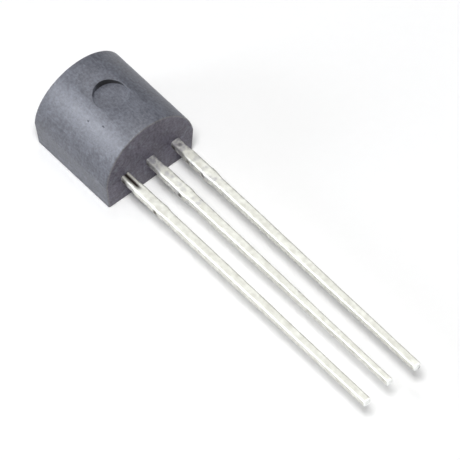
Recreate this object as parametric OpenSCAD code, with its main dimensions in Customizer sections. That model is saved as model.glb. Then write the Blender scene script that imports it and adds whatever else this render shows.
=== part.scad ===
// Three-lead moulded chip package with a half-round epoxy body, lying on its flat side.
// Origin: centre of the flat side. +X runs out along the leads, +Z out of the round side.
// Pin 1 is on the +Y side. All lengths are in millimetres.

/* [Moulded body] */
// Width across the parting line
body_width = 4.45; // [4.3:0.05:5.2]
// Length along the leads, measured at the parting line
body_length = 4.45; // [4.3:0.05:5.3]
// Height of the round side above the middle of the leads
crown_height = 2.06; // [1.8:0.02:2.14]
// Depth of the flat side below the middle of the leads
flat_depth = 1.32; // [1.1:0.02:1.5]
// Width of the flat side
flat_width = 4.24; // [3.6:0.02:4.28]
// Mould draft of both end faces, in degrees
end_draft = 2; // [0.5:0.5:8]

/* [Marks left by the mould] */
// Diameter of the ejector pin's dent in the round side
ejector_diameter = 1.55; // [1.2:0.05:1.7]
// Depth of that dent below the crown
ejector_depth = 0.32; // [0.1:0.02:0.4]
// Width of the broken gate on the end away from the leads
gate_width = 0.9; // [0.5:0.1:1.4]
// Height of the broken gate
gate_height = 0.3; // [0.2:0.05:0.5]
// How far the broken gate stands proud
gate_proud = 0.04; // [0.02:0.01:0.08]

/* [Leads] */
// Spacing of the leads
lead_pitch = 1.27; // [1.2:0.01:1.4]
// Length of the outer leads beyond the body
lead_length = 14.55; // [12.7:0.05:16]
// How much shorter the middle lead is cut
middle_lead_short = 0.15; // [0:0.05:0.5]
// Thickness of the metal strip
strip_thickness = 0.36; // [0.3:0.02:0.42]
// Width where a lead leaves the body
root_width = 0.4; // [0.36:0.02:0.46]
// Length of that narrow stretch
root_length = 0.6; // [0.3:0.05:0.8]
// Width from there to the dam bar
shoulder_width = 0.48; // [0.46:0.02:0.56]
// Length of the step between the two widths
flare_length = 0.3; // [0.1:0.05:0.4]
// Distance of the dam bar from the body
dam_distance = 2; // [1.7:0.05:2.3]
// Length of the dam bar's cut stubs
dam_length = 0.3; // [0.2:0.05:0.4]
// How far the stubs stand out at each side
dam_stub = 0.03; // [0.02:0.01:0.06]
// Width of the solder-dipped lead beyond the dam bar
lead_width = 0.39; // [0.36:0.01:0.45]
// Corner radius of the solder-dipped lead
lead_corner = 0.08; // [0.03:0.01:0.12]
// Bevel left at the cut tip
tip_bevel = 0.06; // [0.02:0.01:0.1]

/* [Inside the body] */
// Length of the die pad on the middle lead
pad_length = 2.3; // [1.8:0.1:2.4]
// Width of the die pad
pad_width = 2; // [1.6:0.1:2.4]
// Epoxy between the die pad and the end of the body
pad_cover = 0.5; // [0.4:0.05:0.7]
// Length of the taper from the pad to the lead
pad_taper = 0.35; // [0.2:0.05:0.4]
// Length of a bond post, the wide inner end of an outer lead
post_length = 0.85; // [0.5:0.05:0.9]
// Width of a bond post
post_width = 0.95; // [0.6:0.05:1.1]
// Epoxy between a bond post and the lead end of the body
post_cover = 0.35; // [0.25:0.05:0.45]
// Length of the silicon die
die_length = 1.2; // [0.8:0.1:1.4]
// Width of the silicon die
die_width = 1; // [0.8:0.1:1.3]
// Thickness of the silicon die
die_thickness = 0.25; // [0.15:0.05:0.35]
// Thickness of the silver-filled adhesive under the die
glue_thickness = 0.03; // [0.02:0.01:0.05]
// How far the adhesive squeezes out around the die
glue_margin = 0.06; // [0.02:0.01:0.1]
// Diameter of the gold bond wires
wire_diameter = 0.03; // [0.02:0.01:0.05]
// Angle at which a wire leaves its ball, in degrees above the die's face
wire_launch = 60; // [40:5:70]
// Diameter of the ball that welds a wire to the die
ball_diameter = 0.09; // [0.08:0.01:0.12]
// Height of the ball
ball_height = 0.04; // [0.03:0.01:0.06]
// Diameter of the pressed foot that welds a wire to its post
foot_diameter = 0.1; // [0.08:0.01:0.12]
// Height of the pressed foot
foot_height = 0.04; // [0.03:0.01:0.05]
// Distance of the balls from the die's edges
bond_inset = 0.15; // [0.1:0.01:0.25]

/* [Hidden] */
$fn = 96;
half_width = body_width / 2;
half_length = body_length / 2;
crown_radius = (half_width * half_width + crown_height * crown_height) / (2 * crown_height);
lead_z = flat_depth;
crown_z = lead_z + crown_height;
strip_top_z = lead_z + strip_thickness / 2;
die_z = strip_top_z + glue_thickness;
die_top_z = die_z + die_thickness;
pad_start_x = -half_length + pad_cover;
pad_end_x = pad_start_x + pad_length;
die_x = pad_start_x + pad_length / 2;
post_end_x = half_length - post_cover;
post_start_x = post_end_x - post_length;
dam_x = half_length + dam_distance;
outer_tip_x = half_length + lead_length;
middle_tip_x = outer_tip_x - middle_lead_short;
// A blank runs past what trims it by this much
overshoot = 1;

// ---- shared shapes ----

// A half outline along the lead's middle line, closed by its mirror image
function both_sides(half) = concat(
    half,
    [for (i = [len(half) - 1 : -1 : 0]) [half[i].x, -half[i].y]]
);

// The half outline that all three leads share, from inside the body to the dam bar's stubs
function outer_stretch() = [
    [half_length + root_length, root_width / 2],
    [half_length + root_length + flare_length, shoulder_width / 2],
    [dam_x, shoulder_width / 2],
    [dam_x, shoulder_width / 2 + dam_stub],
    [dam_x + dam_length, shoulder_width / 2 + dam_stub],
    [dam_x + dam_length, lead_width / 2],
];

// Stands a profile drawn in Y and Z along X
module along_x(length) {
    rotate([90, 0, 90])
        linear_extrude(length)
            children();
}

// Stands a profile drawn in X and Z across Y
module across_y(width) {
    rotate([90, 0, 0])
        linear_extrude(width, center = true)
            children();
}

// ---- moulded body ----

// The D of the body: round above the parting line, slightly drawn in towards the flat below it
module d_section() {
    intersection() {
        translate([0, crown_z - crown_radius])
            circle(crown_radius);
        translate([-half_width, lead_z])
            square([body_width, crown_height + overshoot]);
    }
    polygon([
        [-half_width, lead_z],
        [-flat_width / 2, 0],
        [flat_width / 2, 0],
        [half_width, lead_z],
    ]);
}

// Side view of the body, whose ends lean in from the parting line at the mould's draft
module end_profile() {
    top_x = half_length - (crown_height + overshoot) * tan(end_draft);
    bottom_x = half_length - (flat_depth + overshoot) * tan(end_draft);
    polygon([
        [half_length, lead_z],
        [top_x, crown_z + overshoot],
        [-top_x, crown_z + overshoot],
        [-half_length, lead_z],
        [-bottom_x, -overshoot],
        [bottom_x, -overshoot],
    ]);
}

module body_blank() {
    intersection() {
        translate([-half_length - overshoot, 0, 0])
            along_x(body_length + 2 * overshoot)
                d_section();
        across_y(body_width + 2 * overshoot)
            end_profile();
    }
}

module broken_gate() {
    translate([-half_length - gate_proud, -gate_width / 2, lead_z - gate_height / 2])
        cube([gate_proud + pad_cover / 2, gate_width, gate_height]);
}

module ejector_dent() {
    translate([0, 0, crown_z - ejector_depth])
        cylinder(h = ejector_depth + overshoot, d = ejector_diameter);
}

module moulded_body() {
    color("#55555c")
        difference() {
            union() {
                body_blank();
                broken_gate();
            }
            ejector_dent();
            pin_1_lead();
            pin_2_lead();
            pin_3_lead();
            die_attach();
            silicon_die();
            pin_1_bond_wire();
            pin_3_bond_wire();
        }
}

// ---- leads ----

module rounded_rectangle(width, height, radius) {
    square([width, height - 2 * radius], center = true);
    square([width - 2 * radius, height], center = true);
    for (x = [-1, 1])
        for (y = [-1, 1])
            translate([x * (width / 2 - radius), y * (height / 2 - radius)])
                circle(radius);
}

// Outline of a long bar whose tip corners are bevelled
module bevelled_tip(start_x, tip_x, width) {
    polygon(both_sides([
        [start_x, width / 2],
        [tip_x - tip_bevel, width / 2],
        [tip_x, width / 2 - tip_bevel],
    ]));
}

// The dipped stretch from the dam bar to the tip, its corners rounded by solder
module dipped_lead(tip_x) {
    start_x = dam_x + dam_length / 2;
    intersection() {
        translate([start_x, 0, 0])
            along_x(tip_x - start_x)
                rounded_rectangle(lead_width, strip_thickness, lead_corner);
        linear_extrude(strip_thickness, center = true)
            bevelled_tip(start_x, tip_x, lead_width);
        across_y(lead_width)
            bevelled_tip(start_x, tip_x, strip_thickness);
    }
}

// One stamped lead: its own inner end, the shared outer stretch and the dipped tail
module stamped_lead(inner_end, tip_x) {
    translate([0, 0, lead_z]) {
        linear_extrude(strip_thickness, center = true)
            polygon(both_sides(concat(inner_end, outer_stretch())));
        dipped_lead(tip_x);
    }
}

// An outer lead, which ends inside the body in a wide bond post
module post_lead() {
    stamped_lead(
        [
            [post_start_x, post_width / 2],
            [post_end_x, post_width / 2],
            [post_end_x, root_width / 2],
        ],
        outer_tip_x
    );
}

module pin_1_lead() {
    color("#d9d9d2")
        translate([0, lead_pitch, 0])
            post_lead();
}

// The middle lead, which carries the die on a pad of its own
module pin_2_lead() {
    color("#d9d9d2")
        stamped_lead(
            [
                [pad_start_x, pad_width / 2],
                [pad_end_x, pad_width / 2],
                [pad_end_x + pad_taper, root_width / 2],
            ],
            middle_tip_x
        );
}

module pin_3_lead() {
    color("#d9d9d2")
        translate([0, -lead_pitch, 0])
            post_lead();
}

// ---- die and bond wires ----

module die_attach() {
    glue_length = die_length + 2 * glue_margin;
    glue_width = die_width + 2 * glue_margin;
    color("#b9b9b4")
        translate([die_x - glue_length / 2, -glue_width / 2, strip_top_z])
            cube([glue_length, glue_width, glue_thickness]);
}

module silicon_die() {
    color("#50607a")
        translate([die_x - die_length / 2, -die_width / 2, die_z])
            cube([die_length, die_width, die_thickness]);
}

// A gold wire that leaves its ball on the die, arches over and comes down on its post
module bond_wire() {
    ball = [die_x + die_length / 2 - bond_inset, die_width / 2 - bond_inset, die_top_z];
    foot = [(post_start_x + post_end_x) / 2, lead_pitch, strip_top_z];
    run = norm([foot.x - ball.x, foot.y - ball.y]);
    heading = atan2(foot.y - ball.y, foot.x - ball.x);
    drop = ball.z + ball_height / 2 - (foot.z + foot_height / 2);
    // The circle that passes through both ends at the chosen launch angle
    arch = (run * run + drop * drop) / (2 * (run * sin(wire_launch) + drop * cos(wire_launch)));
    landing = atan2(arch * cos(wire_launch) - drop, run - arch * sin(wire_launch));
    translate(ball)
        cylinder(h = ball_height, d = ball_diameter);
    translate(foot)
        cylinder(h = foot_height, d = foot_diameter);
    translate([ball.x, ball.y, ball.z + ball_height / 2])
        rotate([90, 0, heading])
            translate([arch * sin(wire_launch), -arch * cos(wire_launch), 0])
                rotate([0, 0, landing])
                    rotate_extrude(angle = 90 + wire_launch - landing)
                        translate([arch, 0])
                            circle(d = wire_diameter);
}

module pin_1_bond_wire() {
    color("#d6a83c")
        bond_wire();
}

module pin_3_bond_wire() {
    color("#d6a83c")
        mirror([0, 1, 0])
            bond_wire();
}

moulded_body();
pin_1_lead();
pin_2_lead();
pin_3_lead();
die_attach();
silicon_die();
pin_1_bond_wire();
pin_3_bond_wire();
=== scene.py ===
import math

import bmesh
import bpy
from mathutils import Matrix, Vector, noise


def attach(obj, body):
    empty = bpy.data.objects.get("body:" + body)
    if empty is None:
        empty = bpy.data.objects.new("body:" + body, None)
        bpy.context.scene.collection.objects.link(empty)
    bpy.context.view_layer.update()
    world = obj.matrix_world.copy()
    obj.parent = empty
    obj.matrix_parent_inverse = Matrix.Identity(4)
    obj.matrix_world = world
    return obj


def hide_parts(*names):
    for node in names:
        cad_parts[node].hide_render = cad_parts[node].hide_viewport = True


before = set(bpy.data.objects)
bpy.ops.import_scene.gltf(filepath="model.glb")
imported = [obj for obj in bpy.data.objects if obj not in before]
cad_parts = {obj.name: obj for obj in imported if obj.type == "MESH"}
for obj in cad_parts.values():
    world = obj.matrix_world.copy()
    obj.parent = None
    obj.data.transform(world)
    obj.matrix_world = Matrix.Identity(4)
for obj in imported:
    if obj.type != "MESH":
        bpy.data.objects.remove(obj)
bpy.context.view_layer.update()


# ---- Moulded body ----
# The half-round body is black epoxy, transfer moulded round the lead frame in
# one shot. The mould opens at the level of the leads, so both ends lean in
# from there; an ejector pin leaves its dent, and the runner its broken gate.

MILLIMETRE = 0.001
BODY_WIDTH = 4.45
BODY_LENGTH = 4.45
FLAT_WIDTH = 4.24
LEAD_LEVEL = 1.32
CROWN_HEIGHT = 2.06
END_DRAFT = math.radians(2)
EDGE_RADIUS, EDGE_STEPS = 0.06, 3
EDGE_TURN = 90 / EDGE_STEPS
CROWN_STEPS = 180
CROWN_RADIUS = ((BODY_WIDTH / 2) ** 2 + CROWN_HEIGHT ** 2) / (2 * CROWN_HEIGHT)
CROWN_AXIS = LEAD_LEVEL + CROWN_HEIGHT - CROWN_RADIUS
HALF_LENGTH = BODY_LENGTH / 2
DENT_MIDDLE, DENT_RADIUS, DENT_SEGMENTS = Vector((-0.05, 0, 0)), 0.72, 128
DENT_FLOOR = LEAD_LEVEL + CROWN_HEIGHT - 0.32
# The floor leans: it rises the way DENT_RISE points, and its middle lies DENT_LIFT leans up.
DENT_LEAN, DENT_LIFT, DENT_RISE = 0.07, 1.4, Vector((0.85, 0.53))
# Rings on the pin's turned face, from its edge inwards: how wide each is, and how far it steps.
TURNED_RINGS = [(0.05, -0.015)] + 3 * [(0.05, 0.016), (0.05, 0), (0.05, -0.016), (0.05, 0)]
# The worn rim, from inside outwards: how far past the dent's radius, and how far above the skin.
RIM_RINGS = [(0, -0.035), (0.008, -0.015), (0.022, -0.004), (0.052, 0.012)]
PIN_HEIGHT = 1
GATE_WIDTH, GATE_HEIGHT, GATE_PROUD, GATE_TEAR = 0.9, 0.3, 0.04, 0.018
GATE_CUTS, GATE_GRAIN = 7, 9
# Voids and a chip in the skin: how far along and across, and their size each way.
VOIDS = [(0.142, -1.327, (0.055, 0.045, 0.034)), (0.826, -1.13, (0.075, 0.034, 0.030)),
         (2.20, -1.21, (0.05, 0.07, 0.04))]
VOID_LUMPS, VOID_GRAIN = 0.25, 1.7
SMALLEST_EDGE, SAME_PLACE = 0.0005, 0.0001
PARTING_SNAP = 0.002
# Rounding never takes a body this much smaller past the box of its CAD piece.
A_HAIR_SMALLER = 0.99999
# Corners and faces are sorted along this line, so that a mesh comes out alike each run.
SORTING_LINE = Vector((1, 17.3, 293.7))
# How much of a face's normal points along the body, for a face that is square on or rounded off.
SQUARE_ON, NEARLY_SQUARE_ON, ROUNDED_OFF = 0.99, 0.98, 0.5
BODY_CREASE = math.radians(50)


def crown_level(y):
    """Height of the round side above the flat side, at that distance from its middle."""
    return CROWN_AXIS + math.sqrt(CROWN_RADIUS ** 2 - y ** 2)


def linear(hex_colour):
    """The sRGB hex colour as linear red, green, blue and alpha."""
    parts = [int(hex_colour[i:i + 2], 16) / 255 for i in (1, 3, 5)]
    return [c / 12.92 if c <= 0.04045 else ((c + 0.055) / 1.055) ** 2.4 for c in parts] + [1]


def node(tree, kind, settings=None, numbered=None, **named):
    """Adds one node with its settings. Its inputs, numbered or named, each take another node's
    output or a plain value."""
    made = tree.nodes.new(kind)
    for name, value in (settings or {}).items():
        setattr(made, name, value)
    inputs = dict(numbered or {})
    inputs.update((name.replace("_", " "), value) for name, value in named.items())
    for place, value in inputs.items():
        if isinstance(value, bpy.types.NodeSocket):
            tree.links.new(value, made.inputs[place])
        else:
            made.inputs[place].default_value = value
    return made


def new_material(name):
    """An empty node material, with its Object coordinates ready."""
    made = bpy.data.materials.new(name)
    made.use_nodes = True
    made.node_tree.nodes.clear()
    where = made.node_tree.nodes.new("ShaderNodeTexCoord").outputs["Object"]
    return made, made.node_tree, where


def grains(size_in_mm):
    """The scale of a noise pattern whose features are that large."""
    return 1 / (size_in_mm * MILLIMETRE)


def smooth_mesh(work, name, materials):
    """Turns a bmesh in millimetres into a smooth object in metres."""
    bmesh.ops.scale(work, vec=(MILLIMETRE,) * 3, verts=work.verts)
    mesh = bpy.data.meshes.new(name)
    work.to_mesh(mesh)
    work.free()
    for material in materials:
        mesh.materials.append(material)
    mesh.shade_smooth()
    made = bpy.data.objects.new(name, mesh)
    bpy.context.scene.collection.objects.link(made)
    return made


def put_in_order(work):
    """Gives the corners and faces one order, whichever order the operators made them in."""
    work.verts.sort(key=lambda v: v.co.dot(SORTING_LINE))
    work.faces.sort(key=lambda f: f.calc_center_median().dot(SORTING_LINE))


def in_millimetres(work, name):
    """A clean, closed helper object for a cut, still in millimetres."""
    bmesh.ops.remove_doubles(work, verts=work.verts, dist=SMALLEST_EDGE)
    bmesh.ops.dissolve_degenerate(work, edges=work.edges, dist=SMALLEST_EDGE)
    bmesh.ops.recalc_face_normals(work, faces=work.faces)
    put_in_order(work)
    mesh = bpy.data.meshes.new(name)
    work.to_mesh(mesh)
    work.free()
    made = bpy.data.objects.new(name, mesh)
    bpy.context.scene.collection.objects.link(made)
    return made


def cut_from(base, tools):
    """The base with each tool cut out of it, as a new bmesh."""
    for tool in tools:
        step = base.modifiers.new(tool.name, "BOOLEAN")
        step.operation = "DIFFERENCE"
        step.solver = "EXACT"
        step.object = tool
    bpy.context.view_layer.update()
    shaped = base.evaluated_get(bpy.context.evaluated_depsgraph_get())
    work = bmesh.new()
    work.from_mesh(shaped.to_mesh())
    shaped.to_mesh_clear()
    bmesh.ops.remove_doubles(work, verts=work.verts, dist=SAME_PLACE)
    for used in [base] + tools:
        mesh = used.data
        bpy.data.objects.remove(used)
        bpy.data.meshes.remove(mesh)
    return work


def body_blank():
    """The D-shaped bar with its edges rounded, and both ends leaning in from the lead level."""
    work = bmesh.new()
    tilt = math.asin((LEAD_LEVEL - CROWN_AXIS) / CROWN_RADIUS)
    first = work.verts.new((-HALF_LENGTH + EDGE_RADIUS, BODY_WIDTH / 2, LEAD_LEVEL))
    bmesh.ops.spin(work, geom=[first], cent=(0, 0, CROWN_AXIS), axis=(1, 0, 0),
                   angle=math.pi - 2 * tilt, steps=CROWN_STEPS)
    work.verts.ensure_lookup_table()
    last = work.verts[-1]
    near = work.verts.new((first.co.x, -FLAT_WIDTH / 2, 0))
    far = work.verts.new((first.co.x, FLAT_WIDTH / 2, 0))
    for pair in ((last, near), (near, far), (far, first)):
        work.edges.new(pair)
    bmesh.ops.edgeloop_fill(work, edges=work.edges)
    bmesh.ops.bevel(work, geom=[near, far], offset=EDGE_RADIUS, affect="VERTICES",
                    segments=EDGE_STEPS, profile=0.5, material=-1)
    bar = bmesh.ops.extrude_face_region(work, geom=work.faces[:])["geom"]
    bmesh.ops.translate(work, vec=(BODY_LENGTH - 2 * EDGE_RADIUS, 0, 0),
                        verts=[v for v in bar if isinstance(v, bmesh.types.BMVert)])
    bmesh.ops.recalc_face_normals(work, faces=work.faces)
    for end in (1, -1):
        face = [f for f in work.faces if f.normal.x * end > SQUARE_ON]
        for step in range(1, EDGE_STEPS + 1):
            turn, before = math.radians(EDGE_TURN * step), math.radians(EDGE_TURN * (step - 1))
            bmesh.ops.inset_region(work, faces=face, depth=0, use_even_offset=True,
                                   thickness=EDGE_RADIUS * (math.cos(before) - math.cos(turn)))
            for corner in face[0].verts:
                corner.co.x = end * (HALF_LENGTH - EDGE_RADIUS * (1 - math.sin(turn)))
    bmesh.ops.bisect_plane(work, geom=work.verts[:] + work.edges[:] + work.faces[:],
                           dist=PARTING_SNAP, plane_co=(0, 0, LEAD_LEVEL), plane_no=(0, 0, 1))
    for corner in work.verts:
        corner.co.x *= 1 - abs(corner.co.z - LEAD_LEVEL) * math.tan(END_DRAFT) / HALF_LENGTH
        corner.co *= A_HAIR_SMALLER
    return work


def raise_gate(work):
    """The broken gate, drawn out of the far end and torn uneven."""
    for place, across in (((0, GATE_WIDTH / 2, 0), (0, 1, 0)), ((0, -GATE_WIDTH / 2, 0), (0, 1, 0)),
                          ((0, 0, LEAD_LEVEL + GATE_HEIGHT / 2), (0, 0, 1)),
                          ((0, 0, LEAD_LEVEL - GATE_HEIGHT / 2), (0, 0, 1))):
        end = [f for f in work.faces if f.normal.x < -SQUARE_ON]
        edges = [e for e in work.edges if any(f in end for f in e.link_faces)]
        corners = [v for v in work.verts if any(f in end for f in v.link_faces)]
        bmesh.ops.bisect_plane(work, geom=corners + edges + end, plane_co=place, plane_no=across)
    torn = [f for f in work.faces if f.normal.x < -SQUARE_ON
            and abs(f.calc_center_median().y) < GATE_WIDTH / 2
            and abs(f.calc_center_median().z - LEAD_LEVEL) < GATE_HEIGHT / 2]
    raised = bmesh.ops.extrude_face_region(work, geom=torn)["geom"]
    top = [v for v in raised if isinstance(v, bmesh.types.BMVert)]
    bmesh.ops.delete(work, geom=torn, context="FACES")
    for corner in top:
        corner.co.x = -HALF_LENGTH - GATE_PROUD + GATE_TEAR
    across = [e for e in work.edges if all(v in top for v in e.verts)]
    split = bmesh.ops.subdivide_edges(work, edges=across, cuts=GATE_CUTS, use_grid_fill=True)
    for corner in (v for v in split["geom_inner"] if isinstance(v, bmesh.types.BMVert)):
        corner.co.x += GATE_TEAR * noise.noise(corner.co * GATE_GRAIN)
    bmesh.ops.recalc_face_normals(work, faces=work.faces)


def ejector_cutter():
    """The pin that leaves the dent: a turned face, and a rim worn round by the epoxy."""
    work = bmesh.new()
    bmesh.ops.create_circle(work, cap_ends=True, segments=DENT_SEGMENTS, radius=DENT_RADIUS,
                            matrix=Matrix.Translation((0, 0, DENT_FLOOR)))
    face = work.faces[:]
    for width, lift in TURNED_RINGS:
        bmesh.ops.inset_region(work, faces=face, thickness=width, depth=0)
        bmesh.ops.translate(work, vec=(0, 0, lift), verts=face[0].verts)
    for corner in work.verts:
        corner.co.z += DENT_LEAN * (DENT_LIFT + corner.co.xy.dot(DENT_RISE) / DENT_RADIUS)
    rim = [e for e in work.edges if e.is_boundary]
    for widening, lift in RIM_RINGS:
        ring = bmesh.ops.extrude_edge_only(work, edges=rim)["geom"]
        rim = [e for e in ring if isinstance(e, bmesh.types.BMEdge)]
        for corner in (v for v in ring if isinstance(v, bmesh.types.BMVert)):
            flat = corner.co.xy.normalized() * (DENT_RADIUS + widening)
            corner.co = (flat.x, flat.y, crown_level(flat.y) + lift)
    bmesh.ops.translate(work, vec=(0, 0, PIN_HEIGHT), verts=[
        v for v in bmesh.ops.extrude_edge_only(work, edges=rim)["geom"]
        if isinstance(v, bmesh.types.BMVert)])
    bmesh.ops.holes_fill(work, edges=[e for e in work.edges if e.is_boundary])
    bmesh.ops.recalc_face_normals(work, faces=work.faces)
    bmesh.ops.translate(work, vec=DENT_MIDDLE, verts=work.verts)
    return in_millimetres(work, "ejector_cutter")


def void_cutter(place, size):
    """A lumpy pellet that leaves a small void or chip in the skin."""
    work = bmesh.new()
    bmesh.ops.create_icosphere(work, subdivisions=3, radius=1)
    for corner in work.verts:
        corner.co *= 1 + VOID_LUMPS * noise.noise(corner.co * VOID_GRAIN + Vector(place))
    bmesh.ops.scale(work, vec=size, verts=work.verts)
    bmesh.ops.translate(work, vec=place, verts=work.verts)
    return in_millimetres(work, "void_cutter")


# Painted shade where the dent's far wall shades its foot. The first three numbers: it begins this far
# inside the wall, is darkest this far inside it, and stops this far outside it. From the dent's middle,
# along the way given next, it also deepens from the next distance to the one after, up to the last.
DENT_SHADE_BAND, DENT_SHADE_FULL, DENT_SHADE_LIMIT = 0.05, 0.005, 0.012
DENT_SHADE_WAY, DENT_SHADE_START, DENT_SHADE_END, DENT_SHADE_MOST = (-0.86, 0.51, 0), 0.36, 0.62, 0.9


def painted_shade_in_dent(tree, where):
    """How much painted shade lies at each point: it darkens the foot of the dent's far wall, where shade
    falls.
    """
    in_plan = node(tree, "ShaderNodeVectorMath", {"operation": "MULTIPLY_ADD"},
                   {0: where, 1: (1, 1, 0), 2: DENT_MIDDLE * -MILLIMETRE}).outputs["Vector"]
    from_middle = node(tree, "ShaderNodeVectorMath", {"operation": "LENGTH"}, {0: in_plan}).outputs["Value"]
    at_wall = node(tree, "ShaderNodeMapRange", {"interpolation_type": "SMOOTHSTEP"}, Value=from_middle,
                   From_Min=(DENT_RADIUS - DENT_SHADE_BAND) * MILLIMETRE,
                   From_Max=(DENT_RADIUS - DENT_SHADE_FULL) * MILLIMETRE).outputs["Result"]
    inside = node(tree, "ShaderNodeMath", {"operation": "LESS_THAN"},
                  {0: from_middle, 1: (DENT_RADIUS + DENT_SHADE_LIMIT) * MILLIMETRE}).outputs[0]
    toward_dent_shade = node(tree, "ShaderNodeVectorMath", {"operation": "DOT_PRODUCT"},
                     {0: in_plan, 1: DENT_SHADE_WAY}).outputs["Value"]
    on_far_side = node(tree, "ShaderNodeMapRange", {"interpolation_type": "SMOOTHSTEP"}, Value=toward_dent_shade,
                       From_Min=DENT_SHADE_START * MILLIMETRE, From_Max=DENT_SHADE_END * MILLIMETRE,
                       To_Max=DENT_SHADE_MOST).outputs["Result"]
    height = node(tree, "ShaderNodeSeparateXYZ", Vector=where).outputs["Z"]
    above_leads = node(tree, "ShaderNodeMath", {"operation": "GREATER_THAN"},
                       {0: height, 1: LEAD_LEVEL * MILLIMETRE}).outputs[0]
    dent_shade = at_wall
    for share in (inside, on_far_side, above_leads):
        dent_shade = node(tree, "ShaderNodeMath", {"operation": "MULTIPLY"}, {0: dent_shade, 1: share}).outputs[0]
    return dent_shade


# Clouds in the filler, its specks, the rubs on the skin, and the pits of the spark-eroded mould,
# which are about 0.02 mm wide and are drawn at 0.05 mm so that they show.
CLOUD_SIZE, SPECK_SIZE, RUB_SIZE, PIT_SIZE = 0.42, 0.11, 0.5, 0.05
RUB_TURN, RUB_DEPTH = math.radians(12), 0.008


def moulded_epoxy(name, dark, light, spark_depth, rub_stretch):
    """Black moulding epoxy, filled with silica: grey and satin, with cloudy patches where the
    filler comes to the skin, light scuffs, the fine pebble of the spark-eroded mould, and
    painted shade at the foot of its dent's far wall."""
    made, tree, where = new_material(name)
    cloud = node(tree, "ShaderNodeTexNoise", Vector=where, Scale=grains(CLOUD_SIZE), Detail=4,
                 Roughness=0.62).outputs["Fac"]
    speck = node(tree, "ShaderNodeTexNoise", Vector=where, Scale=grains(SPECK_SIZE), Detail=3,
                 Roughness=0.6).outputs["Fac"]
    both = node(tree, "ShaderNodeMath", {"operation": "MULTIPLY_ADD"}, {0: cloud, 1: 0.6, 2: speck})
    tone = node(tree, "ShaderNodeValToRGB", Fac=both.outputs[0])
    for stop, position, colour in zip(tone.color_ramp.elements, (0.62, 0.98), (dark, light)):
        stop.position, stop.color = position, linear(colour)
    along_rub = node(tree, "ShaderNodeMapping", Vector=where, Rotation=(0, 0, RUB_TURN),
                     Scale=(1, rub_stretch, 1)).outputs["Vector"]
    rub = node(tree, "ShaderNodeTexNoise", Vector=along_rub, Scale=grains(RUB_SIZE), Detail=4,
               Roughness=0.65).outputs["Fac"]
    rubbed = node(tree, "ShaderNodeMapRange", Value=rub, From_Min=0.56, From_Max=0.74, To_Min=0,
                  To_Max=0.4).outputs["Result"]
    scuffed = node(tree, "ShaderNodeMix", {"data_type": "RGBA"},
                   {0: rubbed, 6: tone.outputs["Color"], 7: linear("#8F939E")})
    # Painted shade: the foot of the dent's far wall is darkened to near black, and made rougher.
    dent_shade = painted_shade_in_dent(tree, where)
    colour = node(tree, "ShaderNodeMix", {"data_type": "RGBA"},
                  {0: dent_shade, 6: scuffed.outputs[2], 7: linear("#0B0B0E")})
    gloss = node(tree, "ShaderNodeMapRange", Value=cloud, From_Min=0.3, From_Max=0.7, To_Min=0.43,
                 To_Max=0.53)
    rough = node(tree, "ShaderNodeMath", {"operation": "MULTIPLY_ADD", "use_clamp": True},
                 {0: dent_shade, 1: 0.45, 2: gloss.outputs["Result"]})
    pebble = node(tree, "ShaderNodeTexNoise", Vector=where, Scale=grains(PIT_SIZE), Detail=2,
                  Roughness=0.5).outputs["Fac"]
    relief = node(tree, "ShaderNodeBump", Height=pebble, Strength=1.0, Distance=spark_depth * MILLIMETRE)
    wave = node(tree, "ShaderNodeBump", Height=rub, Normal=relief.outputs["Normal"], Strength=1.0,
                Distance=RUB_DEPTH * MILLIMETRE)
    shader = node(tree, "ShaderNodeBsdfPrincipled", Base_Color=colour.outputs[2],
                  Roughness=rough.outputs[0], Normal=wave.outputs["Normal"], IOR=1.55)
    node(tree, "ShaderNodeOutputMaterial", Surface=shader.outputs["BSDF"])
    return made


# The round side of the mould is spark eroded; its smoother ends take painted shade, a darker copy.
# Painted highlight makes the edges between them pale, and the gate is torn rough, with bare filler showing.
round_side = moulded_epoxy("spark_eroded_moulding_epoxy", "#4E5059", "#6B6E78", spark_depth=0.006,
                           rub_stretch=6)
# Painted shade: the end faces take a darker, purplish copy of the epoxy; their finer pebble is real.
end_face = moulded_epoxy("painted_shade_end_face_moulding_epoxy", "#3B3744", "#615D6C", spark_depth=0.003,
                         rub_stretch=1)
# Painted highlight: the rounded edges at the ends take a paler copy of the epoxy.
painted_highlight_edge = moulded_epoxy("painted_highlight_edge_moulding_epoxy", "#5A585C", "#757377", spark_depth=0.004,
                            rub_stretch=1)
torn_gate = moulded_epoxy("torn_moulding_epoxy", "#5E5B63", "#8D8A90", spark_depth=0.012,
                          rub_stretch=1)
finishes = [round_side, end_face, painted_highlight_edge, torn_gate]
# How near an end a face lies to be part of it, and how far past it to be part of the gate.
END_ZONE, GATE_FOOT = 0.12, 0.002

blank = body_blank()
raise_gate(blank)
shaped = cut_from(in_millimetres(blank, "body_blank"), [ejector_cutter()] + [
    void_cutter((along, across, crown_level(across)), size) for along, across, size in VOIDS])
for skin in shaped.faces:
    middle = skin.calc_center_median()
    at_end = abs(middle.x) > HALF_LENGTH - END_ZONE
    if middle.x < -HALF_LENGTH - GATE_FOOT:
        skin.material_index = finishes.index(torn_gate)
    # The end faces take the painted shade.
    elif at_end and abs(skin.normal.x) > NEARLY_SQUARE_ON:
        skin.material_index = finishes.index(end_face)
    # The rounded edges at the ends take the painted highlight.
    elif at_end and abs(skin.normal.x) > ROUNDED_OFF:
        skin.material_index = finishes.index(painted_highlight_edge)
body = smooth_mesh(shaped, "half_round_epoxy_body", finishes)
body.data.set_sharp_from_angle(angle=BODY_CREASE)
weighted = body.modifiers.new("even_shading", "WEIGHTED_NORMAL")
weighted.keep_sharp = True
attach(body, "root")
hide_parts("moulded_body")


# ---- Leads ----
# Three leads stamped from copper-alloy strip and hot dipped in solder after
# moulding. The coat is thin and dull at the root, heaps up on the wide shoulder
# and thins towards the cut tip. The sheared dam bar leaves a stub at each side.

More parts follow.
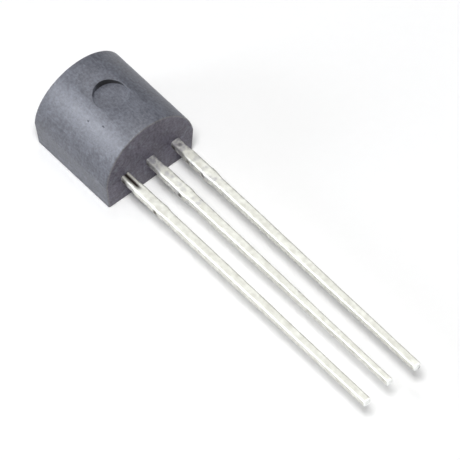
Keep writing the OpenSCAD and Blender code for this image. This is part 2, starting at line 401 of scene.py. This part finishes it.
LEAD_PITCH = 1.27
LEAD_LENGTH = 14.55
MIDDLE_LEAD_SHORT = 0.15
STRIP_THICKNESS = 0.36
ROOT_WIDTH, ROOT_END = 0.40, 0.60
SHOULDER_WIDTH, SHOULDER_START = 0.48, 0.90
DAM_START, DAM_END, DAM_STUB = 2.0, 2.3, 0.03
STUBBED_WIDTH = SHOULDER_WIDTH + 1.2 * DAM_STUB
TAIL_WIDTH, TIP_THICKNESS = 0.40, 0.31
LEAD_CORNER, CORNER_STEPS = 0.085, 5
TIP_BEVEL, TIP_STEPS = 0.09, 3
# A circle of four corners with this radius is a square with sides of 1.
SQUARE_RADIUS = math.sqrt(0.5)
SIDE_CUTS, RING_SPACING = 6, 0.04
OVERLAP = 0.08
LEAD_CREASE = math.radians(42)


def eased(value, start, end):
    """0 before start, 1 after end, and smooth between them."""
    t = min(max((value - start) / (end - start), 0), 1)
    return t * t * (3 - 2 * t)


def blended(value, stops):
    """A width or height that runs smoothly through its stops along the lead."""
    for (start, a), (end, b) in zip(stops, stops[1:]):
        if value <= end:
            return a + (b - a) * eased(value, start, end)
    return stops[-1][1]


# Stops along a lead, each with how far out it is: the strip's width and thickness, and how far
# the solder heaps up or sinks there. Each lead ends at its own length, in a tip of its own width.
WIDTHS = [(0, ROOT_WIDTH), (ROOT_END, ROOT_WIDTH), (SHOULDER_START, SHOULDER_WIDTH),
          (DAM_START - 0.12, SHOULDER_WIDTH), (DAM_START + 0.08, STUBBED_WIDTH),
          (DAM_END - 0.08, STUBBED_WIDTH), (DAM_END + 0.35, TAIL_WIDTH + 0.03)]
THICKNESSES = [(0, STRIP_THICKNESS), (DAM_END, STRIP_THICKNESS), (LEAD_LENGTH, TIP_THICKNESS)]
HEAPS = [(0, 0.003), (ROOT_END, 0.004), (SHOULDER_START, 0.006), (DAM_END, 0.005),
         (DAM_END + 2.5, 0.0015), (LEAD_LENGTH, 0.0015)]
# How many lumps of solder come to a millimetre, coarse and fine, and how strong the fine ones are.
LUMPS, FINE_LUMPS, FINE_SHARE = 2.6, 6.5, 0.6
# Each lead takes its lumps from further along, across and up in the noise than the last.
LUMPS_ACROSS, LUMPS_UP = 7.3, 3.1
# How far a lead sways from straight, how often, and where along it that sets in.
SWAY, SWAYS, SWAY_START, SWAY_END = 0.008, 0.55, 0.5, 3
# How grey the thin coat at the root is, how ragged its edge, and where it ends.
THIN_GREY, THIN_RAGGED, THIN_LUMPS, THIN_START, THIN_END = 0.72, 0.30, 5, 0.48, 0.92
# How grey the patches on the wide part are, and where they set in and fade out.
PATCH_GREY, PATCH_MOST, PATCH_LUMPS = 1.1, 0.5, 4.2
PATCH_START, PATCH_FULL, PATCH_FADE, PATCH_END = 0.7, 1.1, 2.4, 4.5
# The bare channel left in a coat at the root.
CHANNEL_MIDDLE, CHANNEL_WIDTH, CHANNEL_DEPTH = 0.01, 0.078, 0.035
CHANNEL_FADE, CHANNEL_END, CHANNEL_BARE, CHANNEL_DULL = 0.65, 1.05, 1.25, 0.15
# How far from its end a tip begins to take the painted highlight, and takes it in full.
TIP_HIGHLIGHT_START, TIP_HIGHLIGHT_FULL = 0.10, 0.03
# The frosty patches on the solder ripple it, and the crystals between them make it gritty.
FROST_SIZE, RIPPLE_DEPTH = 0.22, 0.012
CRYSTAL_SIZE, GRIT_DEPTH = 0.11, 0.003


def hot_dipped_solder():
    """Tin-lead solder, left as it froze: creamy white metal, satin with a soft ripple,
    with a painted highlight at the cut tips, and grey where it barely wetted the root."""
    made, tree, where = new_material("hot_dipped_solder")
    dull, bare_and_shade, tip_highlight = [node(tree, "ShaderNodeAttribute", {"attribute_name": name}).outputs["Fac"]
                         for name in ("dull", "bare_and_shade", "tip_highlight")]
    frost = node(tree, "ShaderNodeTexNoise", Vector=where, Scale=grains(FROST_SIZE), Detail=4,
                 Roughness=0.65).outputs["Fac"]
    crystal = node(tree, "ShaderNodeTexNoise", Vector=where, Scale=grains(CRYSTAL_SIZE), Detail=3,
                   Roughness=0.5).outputs["Fac"]
    bright = node(tree, "ShaderNodeValToRGB", Fac=frost)
    for stop, position, colour in zip(bright.color_ramp.elements, (0.30, 0.72), ("#BFBEB5", "#DBDBD4")):
        stop.position, stop.color = position, linear(colour)
    patchy = node(tree, "ShaderNodeMapRange", Value=crystal, From_Min=0.40, From_Max=0.60, To_Min=1.0,
                  To_Max=0.45)
    thin = node(tree, "ShaderNodeMath", {"operation": "MULTIPLY"}, {0: dull, 1: patchy.outputs["Result"]})
    skin = bright.outputs["Color"]
    # Mixed over the solder in turn: the thin grey coat, a painted highlight on the cut tips, and dark
    # spots, of bare metal and of painted shade at the roots.
    for share, colour in ((thin.outputs[0], "#8B8994"), (tip_highlight, "#F4F5F3"), (bare_and_shade, "#2A211E")):
        skin = node(tree, "ShaderNodeMix", {"data_type": "RGBA"},
                    {0: share, 6: skin, 7: linear(colour)}).outputs[2]
    satin = node(tree, "ShaderNodeMapRange", Value=crystal, From_Min=0.3, From_Max=0.7, To_Min=0.54,
                 To_Max=0.68)
    worn = node(tree, "ShaderNodeMath", {"operation": "MULTIPLY_ADD", "use_clamp": True},
                {0: dull, 1: 0.1, 2: satin.outputs["Result"]})
    ripple = node(tree, "ShaderNodeBump", Height=frost, Strength=0.6, Distance=RIPPLE_DEPTH * MILLIMETRE)
    grit = node(tree, "ShaderNodeBump", Height=crystal, Normal=ripple.outputs["Normal"], Strength=0.5,
                Distance=GRIT_DEPTH * MILLIMETRE)
    shader = node(tree, "ShaderNodeBsdfPrincipled", Base_Color=skin, Roughness=worn.outputs[0],
                  Normal=grit.outputs["Normal"], Metallic=1.0)
    node(tree, "ShaderNodeOutputMaterial", Surface=shader.outputs["BSDF"])
    return made


def inner_end(cad_node, cut_x):
    """The lead's hidden end, from the CAD part: its post or die pad, up to the body's end."""
    work = bmesh.new()
    work.from_mesh(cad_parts[cad_node].data)
    bmesh.ops.scale(work, vec=(1 / MILLIMETRE,) * 3, verts=work.verts)
    bmesh.ops.remove_doubles(work, verts=work.verts, dist=SAME_PLACE)
    bmesh.ops.bisect_plane(work, geom=work.verts[:] + work.edges[:] + work.faces[:],
                           plane_co=(cut_x, 0, 0), plane_no=(1, 0, 0), clear_outer=True)
    bmesh.ops.holes_fill(work, edges=[e for e in work.edges if e.is_boundary])
    return work


def lead_blank(length):
    """A plain bar with round corners, ringed all along for the solder to be shaped."""
    work = bmesh.new()
    turn = Matrix.Rotation(math.radians(90), 4, "Y") @ Matrix.Rotation(math.radians(45), 4, "Z")
    bmesh.ops.create_circle(work, cap_ends=True, segments=4, radius=SQUARE_RADIUS, matrix=turn)
    bmesh.ops.scale(work, vec=(1, SHOULDER_WIDTH, STRIP_THICKNESS), verts=work.verts)
    bmesh.ops.bevel(work, geom=work.verts[:], offset=LEAD_CORNER, affect="VERTICES",
                    segments=CORNER_STEPS, profile=0.5, material=-1)
    sides = [e for e in work.edges if e.calc_length() > LEAD_CORNER]
    bmesh.ops.subdivide_edges(work, edges=sides, cuts=SIDE_CUTS)
    bar = bmesh.ops.extrude_face_region(work, geom=work.faces[:])["geom"]
    bmesh.ops.translate(work, vec=(length, 0, 0),
                        verts=[v for v in bar if isinstance(v, bmesh.types.BMVert)])
    bmesh.ops.recalc_face_normals(work, faces=work.faces)
    tip = [e for e in work.edges if all(v.co.x > length - SAME_PLACE for v in e.verts)]
    bmesh.ops.bevel(work, geom=tip, offset=TIP_BEVEL, affect="EDGES", segments=TIP_STEPS,
                    profile=0.5, material=-1)
    along = [e for e in work.edges if abs(e.verts[0].co.x - e.verts[1].co.x) > length / 2]
    bmesh.ops.subdivide_edges(work, edges=along, cuts=round(length / RING_SPACING))
    return work


def pool(at, centre, reach):
    """A round spot: 1 in its middle and 0 beyond its reach."""
    return 1 - eased((at - Vector(centre)).length, 0, reach)


def greyness(at, shift):
    """How grey the coat is: where it is thin at the root, and in patches on the wide part."""
    out = at.x
    ragged_out = out + THIN_RAGGED * noise.noise(at * THIN_LUMPS + shift)
    thin = THIN_GREY * (1 - eased(ragged_out, THIN_START, THIN_END))
    on_wide_part = eased(out, PATCH_START, PATCH_FULL) * (1 - eased(out, PATCH_FADE, PATCH_END))
    patch = min(max(PATCH_GREY * noise.noise(at * PATCH_LUMPS + shift), 0), PATCH_MOST)
    return max(thin, on_wide_part * patch)


def dipped_lead(name, cad_node, y, length, tip_width, seed, spots, channelled=False):
    """One lead, whose bar takes the dipped solder's shape, joined to its hidden end."""
    work = lead_blank(length + OVERLAP)
    bmesh.ops.translate(work, vec=(-OVERLAP, 0, 0), verts=work.verts)
    dull_layer = work.verts.layers.float.new("dull")
    bare_and_shade_layer = work.verts.layers.float.new("bare_and_shade")
    tip_highlight_layer = work.verts.layers.float.new("tip_highlight")
    shift = Vector((seed, LUMPS_ACROSS * seed, LUMPS_UP * seed))
    for corner in work.verts:
        out, across, up = corner.co
        across *= blended(out, WIDTHS + [(length, tip_width)]) / SHOULDER_WIDTH
        up *= blended(out, THICKNESSES) / STRIP_THICKNESS
        at = Vector((out, across, up))
        lumps = noise.noise(at * LUMPS + shift) + FINE_SHARE * noise.noise(at * FINE_LUMPS - shift)
        grow = blended(out, HEAPS) * lumps
        radial = Vector((0, across, up)).normalized()
        sway = SWAY * noise.noise(Vector((out * SWAYS, seed, 0))) * eased(out, SWAY_START, SWAY_END)
        # Dark spots: bare metal, and painted shade on the root's low side.
        bare_and_shade = max([strength * pool(at, centre, reach) for centre, reach, strength in spots] + [0])
        dull = greyness(at, shift)
        if channelled and up > 0:
            groove = math.exp(-((across - CHANNEL_MIDDLE) / CHANNEL_WIDTH) ** 2)
            groove *= 1 - eased(out, CHANNEL_FADE, CHANNEL_END)
            up -= CHANNEL_DEPTH * groove
            bare_and_shade = max(bare_and_shade, min(CHANNEL_BARE * groove, 1))
            dull *= CHANNEL_DULL
        corner[dull_layer] = dull
        corner[bare_and_shade_layer] = bare_and_shade
        # The cut tip takes a painted highlight.
        corner[tip_highlight_layer] = eased(out, length - TIP_HIGHLIGHT_START, length - TIP_HIGHLIGHT_FULL)
        across, up = across + grow * radial.y, up + grow * radial.z
        corner.co = (HALF_LENGTH + out, y + across + sway, LEAD_LEVEL + up)
    hidden = inner_end(cad_node, HALF_LENGTH - OVERLAP / 2)
    hidden_mesh = bpy.data.meshes.new("hidden")
    hidden.to_mesh(hidden_mesh)
    hidden.free()
    work.from_mesh(hidden_mesh)
    bpy.data.meshes.remove(hidden_mesh)
    put_in_order(work)
    made = smooth_mesh(work, name, [solder])
    made.data.set_sharp_from_angle(angle=LEAD_CREASE)
    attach(made, "root")
    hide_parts(cad_node)


# Dark spots, of bare metal and of painted shade: each one's place out, across and up from the lead's
# middle, reach and strength.
# The first spot on each lead, on the root's low side by the body, is painted shade.
PIN_1_SPOTS = [((0.12, -0.22, -0.05), 0.26, 0.9), ((1.95, -0.25, 0.02), 0.19, 0.9),
               ((1.05, -0.22, -0.02), 0.16, 0.8), ((0.3, 0, 0.18), 0.15, 0.5),
               ((14.55, 0.06, -0.08), 0.13, 0.9)]
PIN_2_SPOTS = [((0.08, -0.22, -0.06), 0.2, 0.7), ((2.09, -0.26, 0.0), 0.20, 1.0),
               ((8.85, 0.17, 0.16), 0.14, 0.6)]
PIN_3_SPOTS = [((0.15, -0.22, -0.06), 0.28, 0.9), ((2.09, -0.26, 0.0), 0.20, 1.0)]

solder = hot_dipped_solder()
dipped_lead("pin_1_dipped_lead", "pin_1_lead", y=LEAD_PITCH, length=LEAD_LENGTH, tip_width=0.34,
            seed=1.0, spots=PIN_1_SPOTS)
dipped_lead("pin_2_dipped_lead", "pin_2_lead", y=0, length=LEAD_LENGTH - MIDDLE_LEAD_SHORT,
            tip_width=0.27, seed=2.0, spots=PIN_2_SPOTS)
dipped_lead("pin_3_dipped_lead", "pin_3_lead", y=-LEAD_PITCH, length=LEAD_LENGTH, tip_width=0.35,
            seed=3.0, spots=PIN_3_SPOTS, channelled=True)


# ---- Die, adhesive and bond wires ----
# Sealed in the epoxy: a silicon die glued to the middle lead's pad with
# silver-filled adhesive, and two gold wires welded from it to the outer leads.

RELIEF_DEPTH = 0.002


def hidden_material(name, cad_nodes, dark, light, size_in_mm, metallic, roughness):
    """A finish for the parts inside the body, mottled between two tones and two roughnesses."""
    made, tree, where = new_material(name)
    mottle = node(tree, "ShaderNodeTexNoise", Vector=where, Scale=grains(size_in_mm), Detail=3,
                  Roughness=0.55).outputs["Fac"]
    tone = node(tree, "ShaderNodeValToRGB", Fac=mottle)
    for stop, position, colour in zip(tone.color_ramp.elements, (0.35, 0.65), (dark, light)):
        stop.position, stop.color = position, linear(colour)
    least, most = roughness
    sheen = node(tree, "ShaderNodeMapRange", Value=mottle, From_Min=0.3, From_Max=0.7, To_Min=least,
                 To_Max=most)
    relief = node(tree, "ShaderNodeBump", Height=mottle, Strength=0.5,
                  Distance=RELIEF_DEPTH * MILLIMETRE)
    shader = node(tree, "ShaderNodeBsdfPrincipled", Base_Color=tone.outputs["Color"],
                  Roughness=sheen.outputs["Result"], Normal=relief.outputs["Normal"], Metallic=metallic)
    node(tree, "ShaderNodeOutputMaterial", Surface=shader.outputs["BSDF"])
    for cad_node in cad_nodes:
        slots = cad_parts[cad_node].data.materials
        slots.clear()
        slots.append(made)


# Polished silicon under its oxide: a blue-grey mirror with faint blocks of circuit.
hidden_material("polished_silicon", ["silicon_die"], "#3E4A60", "#5E6C86", size_in_mm=0.12,
                metallic=0.6, roughness=(0.12, 0.22))
# Silver flakes in epoxy: pale grey paste, dull and grainy.
hidden_material("silver_filled_adhesive", ["die_attach"], "#9D9C97", "#C9C8C2", size_in_mm=0.04,
                metallic=0.8, roughness=(0.45, 0.65))
# Fine drawn gold: yellow and bright, with faint drawing marks.
hidden_material("drawn_gold_wire", ["pin_1_bond_wire", "pin_3_bond_wire"], "#D9A93C", "#F2CB6A",
                size_in_mm=0.02, metallic=1.0, roughness=(0.15, 0.28))


# ---- Table, light and camera ----
# The part lies on its flat side on a plain white table, under a large soft
# light from above and a weaker one from behind. A softbox at the left draws
# the long highlights, and a faint fill below it lights the sides that face it.

TABLE_SIZE, FIBRE_SIZE = 600, 0.5
LAMP_DISTANCE = 300
AIM = Vector((6.911, 0.122, 1.32))
CAMERA_DISTANCE = 433.926
CAMERA_ELEVATION, CAMERA_AZIMUTH = math.radians(53.146), math.radians(-37.619)
CAMERA_ROLL = math.radians(-3.211)
CAMERA_LENS = 873.04
# How bright the room is for what it lights, and in reflections. A dark curtain hangs behind the
# part: from its edge inwards it leaves less and less of that light, down to CURTAIN_LEAVES.
ROOM_LIGHT, ROOM_REFLECTED = 0.18, 0.9
CURTAIN_WAY = Vector((-0.48, 0.85, 0.1))
CURTAIN_EDGE, CURTAIN_DARKEST, CURTAIN_LEAVES = 0.60, 0.92, 0.2


def direction(azimuth, elevation):
    """The way to a point in the room, as a vector of length 1."""
    return Vector((math.cos(elevation) * math.cos(azimuth), math.cos(elevation) * math.sin(azimuth),
                   math.sin(elevation)))


table_top = bmesh.new()
bmesh.ops.create_grid(table_top, x_segments=1, y_segments=1, size=TABLE_SIZE / 2)
# Matt white paper: one nearly even tone, on which only the part's shadow shows.
paper, paper_tree, paper_where = new_material("white_paper")
fibre = node(paper_tree, "ShaderNodeTexNoise", Vector=paper_where, Scale=grains(FIBRE_SIZE), Detail=2)
tint = node(paper_tree, "ShaderNodeValToRGB", Fac=fibre.outputs["Fac"])
for shade, paper_white in zip(tint.color_ramp.elements, ("#FBFBFB", "#FDFDFD")):
    shade.color = linear(paper_white)
matt = node(paper_tree, "ShaderNodeBsdfDiffuse", Color=tint.outputs["Color"])
node(paper_tree, "ShaderNodeOutputMaterial", Surface=matt.outputs[0])
table = smooth_mesh(table_top, "table", [paper])


def softbox(name, toward, width, height, power, colour, glossy_only=False):
    """An area light in that direction from the part's middle, facing it."""
    made = bpy.data.lights.new(name, "AREA")
    made.shape = "RECTANGLE"
    made.size, made.size_y = width * MILLIMETRE, height * MILLIMETRE
    made.energy = power
    made.color = linear(colour)[:3]
    lamp = bpy.data.objects.new(name, made)
    toward = Vector(toward).normalized()
    lamp.matrix_world = Matrix.LocRotScale(
        (AIM + toward * LAMP_DISTANCE) * MILLIMETRE, toward.to_track_quat("Z", "Y"), None)
    lamp.visible_diffuse = not glossy_only
    lamp.visible_camera = False
    bpy.context.scene.collection.objects.link(lamp)


softbox("key_light", (0.26, -0.265, 1.0), width=110, height=110, power=0.73, colour="#FFFFFF")
softbox("back_light", (-0.335, 0.258, 0.906), width=110, height=110, power=0.13, colour="#FFFFFF")
softbox("left_softbox", (-0.45, -0.64, 0.62), width=120, height=52, power=0.92, colour="#F0F5FF",
        glossy_only=True)
softbox("left_fill", (-0.475, -0.82, 0.30), width=130, height=100, power=0.22, colour="#F4F8FF")

# The camera sees plain white past the table's edge. Only light and reflections see the room.
sky = bpy.data.worlds.new("studio")
bpy.context.scene.world = sky
sky.use_nodes = True
room = sky.node_tree
room.nodes.clear()
sight = node(room, "ShaderNodeLightPath")
strength = node(room, "ShaderNodeMapRange", Value=sight.outputs["Is Glossy Ray"], To_Min=ROOM_LIGHT,
                To_Max=ROOM_REFLECTED)
room_where = node(room, "ShaderNodeTexCoord").outputs["Generated"]
toward_curtain = node(room, "ShaderNodeVectorMath", {"operation": "DOT_PRODUCT"},
                      {0: room_where, 1: CURTAIN_WAY.normalized()})
curtain = node(room, "ShaderNodeMapRange", Value=toward_curtain.outputs["Value"],
               From_Min=CURTAIN_EDGE, From_Max=CURTAIN_DARKEST, To_Min=1.0, To_Max=CURTAIN_LEAVES)
dimmed = node(room, "ShaderNodeMath", {"operation": "MULTIPLY"},
              {0: strength.outputs["Result"], 1: curtain.outputs["Result"]})
white_seen = node(room, "ShaderNodeMath", {"operation": "MAXIMUM"},
                  {0: dimmed.outputs[0], 1: sight.outputs["Is Camera Ray"]})
glow = node(room, "ShaderNodeBackground", Strength=white_seen.outputs[0])
node(room, "ShaderNodeOutputWorld", Surface=glow.outputs[0])

view = direction(CAMERA_AZIMUTH, CAMERA_ELEVATION)
camera_data = bpy.data.cameras.new("camera")
camera_data.lens = CAMERA_LENS
camera = bpy.data.objects.new("camera", camera_data)
camera.matrix_world = Matrix.LocRotScale(
    (AIM + view * CAMERA_DISTANCE) * MILLIMETRE, view.to_track_quat("Z", "Y"), None
) @ Matrix.Rotation(CAMERA_ROLL, 4, "Z")
bpy.context.scene.collection.objects.link(camera)
bpy.context.scene.camera = camera
bpy.context.scene.view_settings.view_transform = "Standard"
